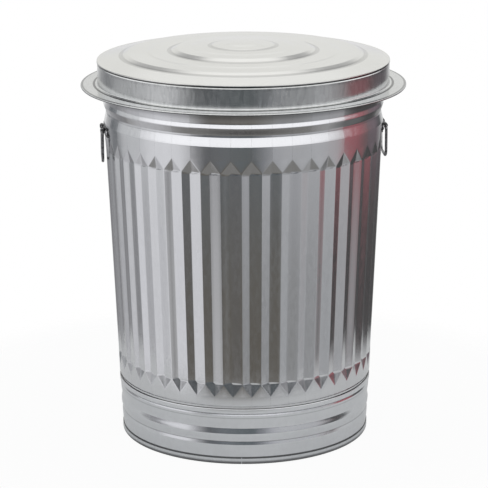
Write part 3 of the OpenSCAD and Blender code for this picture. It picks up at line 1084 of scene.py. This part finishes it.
@dataclass
class HandleSet:
    """One drop handle with the riveted bracket that it swings in.

    Attributes:
        side: the side that it hangs on.
        drum: the drum that it is fastened to.
        wire_r: radius of the handle's wire.
        width: from the middle of one leg to the middle of the other.
        drop: from the pivot down to the grip.
        bend: bend radius at the grip's two ends.
        stub_bend: bend radius where the legs turn in to the knuckles.
        pivot_gap: from the start of the drum's neck down to the pivot.
        strap_t: thickness of the strap.
        strap_h: height of the strap.
        knuckle_len: length of each knuckle.
        rivet_r: radius of a rivet's shank.
    """

    side: Side
    drum: Drum
    wire_r: float = 2.2
    width: float = 60.0
    drop: float = 50.0
    bend: float = 12.0
    stub_bend: float = 5.0
    pivot_gap: float = 12.5
    strap_t: float = 1.2
    strap_h: float = 16.0
    knuckle_len: float = 12.0
    rivet_r: float = 2.4

    def __post_init__(self) -> None:
        """Works out the pivot from the drum's wall."""
        self.pivot_z = self.drum.neck_z - self.pivot_gap
        self.strap_r = self.drum.wall_r(self.pivot_z) + SEAT_GAP + self.strap_t
        self.pivot_x = self.strap_r + self.wire_r + 0.6
        self.knuckle_end = self.width / 2 - self.stub_bend - 1.0
        self.word = self.side.name.lower()

    def made(self, name: str, skins: Sequence[Skin], crease: float) -> bpy.types.Object:
        """Makes a mesh object from skins made for the +X side, turned round to this handle's side.

        Args:
            name: the object's name.
            skins: the closed skins that it is made of.
            crease: faces that meet at more than this many degrees stay sharp.

        Returns:
            The new object.
        """
        sign = self.side.value
        return mesh_object(name, [(points * (sign, sign, 1.0), faces) for points, faces in skins], crease)

    def handle(self) -> bpy.types.Object:
        """Makes the wire handle, hanging down."""
        leg = self.width / 2
        stub = self.knuckle_end - self.knuckle_len - 3.0
        across = [-stub, -leg, -leg, leg, leg, stub]
        up = [0.0, 0.0, -self.drop, -self.drop, 0.0, 0.0]
        path = wire_path(list(zip(across, up)), [self.stub_bend, self.bend, self.bend, self.stub_bend])
        loops = wire_loops(dense(path, 6.0), self.wire_r, 0.5)
        loops += np.array([self.pivot_x, 0.0, self.pivot_z])
        obj = self.made(f"wire_handle_{self.word}", [lofted(loops)], 40.0)
        dress(obj, WIRE)
        body = Body.LEFT_HANDLE if self.side is Side.LEFT else Body.RIGHT_HANDLE
        return stand_in(obj, body, f"handle_{self.word}")

    def strap_loops(self) -> np.ndarray:
        """Cross-sections of the strap, from one rounded end to the other."""
        reach = self.strap_r * math.asin((self.width / 2 + self.wire_r + 12.0) / self.strap_r)
        corner, half = 6.0, self.strap_h / 2
        ends = reach - corner + corner * np.sin(np.linspace(0, math.pi / 2, 7))
        places = np.concatenate([-ends[::-1], np.linspace(-reach + corner, reach - corner, 31)[1:-1], ends])
        past = np.maximum(np.abs(places) - reach + corner, 0.0)
        tall = half - corner + np.sqrt(np.maximum(corner ** 2 - past ** 2, 0.0))
        edge = 0.3
        loops = []
        for place, h in zip(places, tall):
            angle = place / self.strap_r
            section = [(0.0, -h), (self.strap_t - edge, -h), (self.strap_t, -h + edge), (self.strap_t, 0.0),
                       (self.strap_t, h - edge), (self.strap_t - edge, h), (0.0, h), (0.0, 0.0)]
            loop = []
            for out, up in section:
                radius = self.drum.wall_r(self.pivot_z + up) + SEAT_GAP + out
                loop.append((radius * math.cos(angle), radius * math.sin(angle), self.pivot_z + up))
            loops.append(loop)
        return np.array(loops)

    def knuckle(self, end: float) -> np.ndarray:
        """Slices of one knuckle, a tab of the strap rolled over the handle's stub.

        Args:
            end: place along Y of the knuckle's outer end, with its side's sign.

        Returns:
            The slices, ready for lofting.
        """
        hole = self.wire_r + RUN_GAP
        root = self.strap_r - self.pivot_x - 0.3
        roll = arc((0.0, 0.0), hole, -90.0, 175.0, 12.0)
        tail = np.array([(root, -hole)])
        outline = sheet(np.vstack([tail, roll]), -self.strap_t)
        starts = np.sign(end) * (abs(end) - self.knuckle_len)
        loops = []
        for k in (0.0, 0.5, 1.0):
            y = starts + (end - starts) * k
            loops.append([(self.pivot_x + x, y, self.pivot_z + up) for x, up in outline])
        return np.array(loops)

    def bracket(self) -> bpy.types.Object:
        """Makes the strap and its two knuckles, joined into one piece."""
        loops = [self.strap_loops(), self.knuckle(-self.knuckle_end), self.knuckle(self.knuckle_end)]
        obj = self.made(f"bracket_{self.word}_strap", [lofted(part) for part in loops], 30.0)
        dress(obj, STRAP)
        return stand_in(obj, Body.BIN, f"bracket_{self.word}")

    def rivets(self) -> bpy.types.Object:
        """Makes the bracket's two rivets, with hammered heads."""
        r, t = self.rivet_r, self.drum.thickness
        head, tall = r + 1.9, 1.8
        face = self.strap_t + 0.1
        tail = -t - SEAT_GAP
        outline = rounded([
            (0.0, tail - 1.4, 0.0), (r + 0.9, tail - 1.4, 0.5), (r + 1.2, tail, 0.2), (r, tail, 0.0),
            (r, face, 0.0), (head, face, 0.15), (0.86 * head, face + 0.62 * tall, 1.0),
            (0.5 * head, face + 0.95 * tall, 3.0), (0.0, face + tall, 0.0),
        ])
        tilt = math.atan((self.drum.top_r - self.drum.foot_r) / (self.drum.neck_z - self.drum.foot_z))
        spread = math.asin((self.width / 2 + self.wire_r + 6.0) / self.strap_r)
        away, down = math.cos(tilt), math.sin(tilt)
        lean = np.array([[-down, 0.0, away], [0.0, 1.0, 0.0], [-away, 0.0, -down]])
        points, faces = turned(outline, 28)
        seated = points @ lean.T + np.array([self.drum.wall_r(self.pivot_z), 0.0, self.pivot_z])
        skins = []
        for angle in (-spread, spread):
            cos, sin = math.cos(angle), math.sin(angle)
            spin = np.array([[cos, -sin, 0.0], [sin, cos, 0.0], [0.0, 0.0, 1.0]])
            skins.append((seated @ spin.T, faces))
        obj = self.made(f"rivet_pair_{self.word}", skins, 50.0)
        dress(obj, RIVET)
        return stand_in(obj, Body.BIN, f"rivets_{self.word}")


@dataclass
class Wires:
    """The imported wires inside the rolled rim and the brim's edge, which keep their shape."""

    nodes: Tuple[str, ...] = ("rim_wire", "lid_edge_wire")

    def dress(self) -> None:
        """Gives the wires their finish."""
        for node in self.nodes:
            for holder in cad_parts[node].material_slots:
                holder.material = WIRE.build()
            LOG.info("%s stays as packed", node)


# Studio ----------------------------------------------------------------------------------------


@dataclass(frozen=True)
class Band:
    """One band of the room, which hides the bands below it.

    Attributes:
        lowest: angle above the horizon, in degrees, at which it starts to show.
        highest: angle at which it hides what is below.
        stops: its tones, by direction from the camera.
        leans: whether these angles are higher away from the camera.
    """

    lowest: float
    highest: float
    stops: List[Stop]
    leans: bool = False


@dataclass
class Studio:
    """Pale floor, soft light from above, the room that the metal mirrors, and the camera.

    Angles round the room are in degrees from the direction of the camera, positive to the right.

    Attributes:
        lens: focal length in millimetres.
        orbit: how far round from the bin's front the camera stands, in degrees.
        distance: how far it stands from the bin's axis, in metres.
        height: its height over the floor, in metres.
        pitch: how far down it looks, in degrees.
        roll: how far it is turned about its own line of sight, in degrees.
        floor_r: radius of the floor, in metres.
        paper_r: radii at which the floor starts to fade and at which it is gone, in metres.
        paper_y: how far behind the bin's axis the middle of that fade is, in metres.
        paper_white: how much of the floor is plain white to the camera, from 0 to 1.
        lean: how much higher the wall's lower edge is right behind the bin, in degrees.
        strength: brightness of the room, which its tones are divided by.
    """

    lens: float = 174.2
    orbit: float = -4.5
    distance: float = 3.7488
    height: float = 1.3057
    pitch: float = 14.88
    roll: float = 0.24
    floor_r: float = 0.95
    paper_r: Tuple[float, float] = (0.50, 0.64)
    paper_y: float = 0.1
    paper_white: float = 0.94
    lean: float = 7.5
    strength: float = 1.3

    def camera(self) -> bpy.types.Object:
        """Makes the camera and makes it the scene's own."""
        lens = bpy.data.cameras.new("camera")
        lens.lens = self.lens
        lens.sensor_width = 36.0
        lens.clip_end = 60.0
        obj = bpy.data.objects.new("camera", lens)
        turn = math.radians(self.orbit)
        obj.location = (math.sin(turn) * self.distance, -math.cos(turn) * self.distance, self.height)
        ahead = turn - math.radians(self.roll) * math.sin(math.radians(self.pitch))
        obj.rotation_euler = (math.radians(90.0 - self.pitch), math.radians(self.roll), ahead)
        bpy.context.scene.collection.objects.link(obj)
        bpy.context.scene.camera = obj
        return obj

    @staticmethod
    def walls() -> List[Stop]:
        """Tone of the room just below eye level, by direction from the camera."""
        white, soft, pale = (0.86, 0.86, 0.88), (0.65, 0.66, 0.67), (0.55, 0.555, 0.57)
        red, wine = (0.435, 0.155, 0.175), (0.21, 0.17, 0.19)
        return [
            (-180, white), (-164, soft), (-152, (0.20, 0.21, 0.22)), (-145, (0.42, 0.43, 0.44)),
            (-136, (0.15, 0.16, 0.17)), (-127, (0.27, 0.28, 0.29)), (-118, soft), (-96, soft),
            (-82, white), (-54, white), (-42, (0.40, 0.40, 0.41)), (-33, (0.15, 0.155, 0.165)),
            (-16, (0.185, 0.20, 0.215)), (0, (0.15, 0.17, 0.18)), (8, (0.14, 0.158, 0.17)),
            (16, (0.27, 0.28, 0.30)), (25, (0.48, 0.485, 0.51)), (34, pale), (66, pale),
            (84, (0.52, 0.48, 0.49)), (93, red), (110, red), (119, (0.24, 0.15, 0.155)), (130, wine),
            (145, wine), (155, (0.48, 0.47, 0.48)), (170, (0.75, 0.75, 0.76)), (180, white),
        ]

    @staticmethod
    def far_floor() -> List[Stop]:
        """Tone of the floor beyond the paper, by direction from the camera."""
        brown, slate = (0.145, 0.132, 0.112), (0.085, 0.083, 0.083)
        return [
            (-180, (0.60, 0.60, 0.60)), (-160, (0.48, 0.48, 0.49)), (-145, (0.30, 0.30, 0.31)),
            (-130, (0.26, 0.26, 0.27)), (-118, (0.45, 0.45, 0.46)), (-105, (0.55, 0.55, 0.57)),
            (-90, (0.68, 0.68, 0.70)), (-76, (0.80, 0.80, 0.83)), (-50, (0.76, 0.76, 0.78)),
            (-41, (0.50, 0.50, 0.50)), (-34, (0.14, 0.135, 0.13)), (-20, brown), (10, brown),
            (18, (0.26, 0.26, 0.25)), (30, (0.34, 0.345, 0.35)), (48, (0.34, 0.345, 0.35)),
            (62, (0.43, 0.44, 0.45)), (90, (0.42, 0.42, 0.43)), (98, (0.20, 0.20, 0.20)), (106, slate),
            (146, slate), (160, (0.30, 0.30, 0.30)), (180, (0.60, 0.60, 0.60)),
        ]

    @staticmethod
    def near_floor() -> List[Stop]:
        """Tone of the floor just beyond the paper, by direction from the camera."""
        earth, pale, slate = (0.25, 0.245, 0.235), (0.55, 0.55, 0.56), (0.16, 0.16, 0.16)
        return [
            (-180, pale), (-150, earth), (-130, earth), (-112, pale), (-88, pale), (-64, earth), (66, earth),
            (88, (0.42, 0.42, 0.42)), (104, slate), (150, slate), (180, pale),
        ]

    @staticmethod
    def horizon() -> List[Stop]:
        """Tone of the dark gap under the lamps, by direction from the camera."""
        gap, soft, dim = (0.085, 0.092, 0.095), (0.50, 0.50, 0.51), (0.33, 0.33, 0.34)
        bright = (0.82, 0.82, 0.82)
        return [
            (-180, bright), (-162, bright), (-142, dim), (-118, dim), (-100, dim), (-84, dim), (-71, soft),
            (-61, soft), (-50, gap), (50, gap), (60, dim), (69, dim), (79, gap), (150, gap), (165, bright),
            (180, bright),
        ]

    @staticmethod
    def ceiling() -> List[Stop]:
        """Tone of the room between the lamps in front and those overhead, by direction."""
        white, grey = (0.98, 0.98, 0.97), (0.20, 0.20, 0.21)
        return [
            (-180, white), (-172, white), (-156, grey), (-112, grey), (-98, white), (98, white), (112, grey),
            (156, grey), (172, white), (180, white),
        ]

    @staticmethod
    def lamps() -> List[Stop]:
        """Tone of the row of lamps just above eye level, by direction from the camera."""
        dull, lit = (0.84, 0.84, 0.82), (1.3, 1.3, 1.32)
        return [
            (-180, dull), (-160, dull), (-140, (1.0, 1.0, 1.0)), (-90, lit), (90, lit),
            (140, (1.05, 1.05, 1.05)), (160, (0.90, 0.90, 0.88)), (180, dull),
        ]

    @staticmethod
    def even(tone: Colour) -> List[Stop]:
        """The same tone in every direction."""
        return [(-180, tone), (180, tone)]

    def bands(self) -> List[Band]:
        """The room from the paper up to the lamps overhead."""
        return [
            Band(-90.0, -90.0, self.even((0.045, 0.042, 0.04))),
            Band(-55.0, -49.0, self.near_floor()),
            Band(-30.5, -27.0, self.far_floor()),
            Band(-20.0, -18.2, self.walls(), leans=True),
            Band(-11.2, -10.4, self.horizon()),
            Band(-5.6, -4.2, self.walls()),
            Band(4.0, 8.0, self.lamps()),
            Band(18.0, 27.0, self.ceiling()),
            Band(40.0, 50.0, self.even((1.08, 1.08, 1.07))),
        ]

    def world(self) -> None:
        """Makes the lamps overhead and the room that the metal mirrors."""
        world = bpy.data.worlds.new("studio")
        bpy.context.scene.world = world
        world.use_nodes = True
        graph = Graph(world.node_tree)
        way = graph.add("SeparateXYZ", {0: graph.add("TexCoord").outputs["Generated"]})
        x, y, z = (way.outputs[k] for k in range(3))
        facing = graph.sum("ARCTAN2", x, graph.sum("MULTIPLY", y, -1.0))
        turn = graph.sum("DIVIDE", graph.sum("SUBTRACT", facing, math.radians(self.orbit)), TURN)
        place = graph.sum("FRACT", graph.sum("ADD", turn, 0.5))
        rise = graph.sum("ARCSINE", z)
        across = graph.sum("COSINE", graph.sum("MULTIPLY", graph.sum("SUBTRACT", place, 0.5), math.pi))
        leaning = graph.sum("MULTIPLY", graph.sum("SUBTRACT", 1.0, across), math.radians(self.lean))
        tone = None
        for band in self.bands():
            strip = self.strip(graph, place, band.stops)
            if tone is None:
                tone = strip
                continue
            level = graph.sum("SUBTRACT", rise, leaning) if band.leans else rise
            share = graph.eased(level, math.radians(band.lowest), math.radians(band.highest))
            tone = graph.add("MixRGB", {"Fac": share, "Color1": tone, "Color2": strip}).outputs["Color"]
        seen = graph.add("LightPath").outputs["Is Camera Ray"]
        room = graph.add("Background", {"Color": tone, "Strength": self.strength})
        paper = graph.add("Background", {"Color": (1.0, 1.0, 1.0, 1.0), "Strength": 1.0})
        both = graph.add("MixShader", {0: seen, 1: room.outputs[0], 2: paper.outputs[0]})
        graph.add("OutputWorld", {"Surface": both.outputs[0]})

    def strip(self, graph: Graph, place: Socket, stops: Sequence[Stop]) -> Socket:
        """Tone of one band of the room, by direction.

        Args:
            graph: the world's node tree.
            place: direction as a part of a turn, 0.5 towards the camera.
            stops: tones at some directions, in degrees from the camera's.

        Returns:
            The band's colour, divided by the world's strength.
        """
        parts = []
        for angle, tone in stops:
            parts.append(((angle + 180.0) / 360.0, tuple(part / self.strength for part in tone)))
        return graph.tones(place, parts)

    def floor(self) -> bpy.types.Object:
        """Makes the pale floor, a disc that fades out at its edge."""
        sides, radius = 96, self.floor_r / MM
        corner = np.arange(sides)
        angles = TURN * corner / sides
        ring = np.column_stack([np.cos(angles), np.sin(angles), np.zeros(sides)])
        points = np.vstack([ring * radius * 0.5, ring * radius, [[0, 0, 0]]])
        fan = np.column_stack([np.full(sides, 2 * sides), corner, (corner + 1) % sides])
        obj = mesh_object("floor", [(points, [grid_faces(2, sides, False, True), fan])])
        material, graph = blank("pale_floor")
        place = graph.add("TexCoord").outputs["Object"]
        centre = (0.0, self.paper_y, 0.0)
        out = graph.add("VectorMath", {0: place, 1: centre}, operation="DISTANCE").outputs["Value"]
        gone = graph.eased(out, *self.paper_r)
        paper = graph.add("BsdfDiffuse", {"Color": (0.68, 0.69, 0.695, 1.0)})
        white = graph.add("Emission", {"Color": (1.0, 1.0, 1.0, 1.0), "Strength": 1.0})
        seen = graph.add("LightPath").outputs["Is Camera Ray"]
        share = graph.sum("MULTIPLY", seen, self.paper_white)
        bright = graph.add("MixShader", {0: share, 1: paper.outputs[0], 2: white.outputs[0]})
        clear = graph.add("BsdfTransparent")
        both = graph.add("MixShader", {0: gone, 1: bright.outputs[0], 2: clear.outputs[0]})
        graph.add("OutputMaterial", {"Surface": both.outputs[0]})
        obj.data.materials.append(material)
        return obj

    def build(self) -> None:
        """Sets up the camera, the light and the floor."""
        self.camera()
        self.world()
        self.floor()
        bpy.context.scene.view_settings.view_transform = "Standard"
        LOG.info("studio ready, lens %.1f mm", self.lens)


def main() -> None:
    """Builds the bin piece by piece and reports each one."""
    logging.basicConfig(level=logging.INFO, format="%(name)s: %(message)s")
    Studio().build()
    drum = Drum()
    drum.build()
    base = Base()
    base.band()
    base.hoop()
    base.pan()
    lid = Lid()
    lid.top()
    lid.collar()
    for side in Side:
        handle = HandleSet(side, drum)
        handle.bracket()
        handle.rivets()
        handle.handle()
    Wires().dress()


if __name__ == "__main__":
    main()
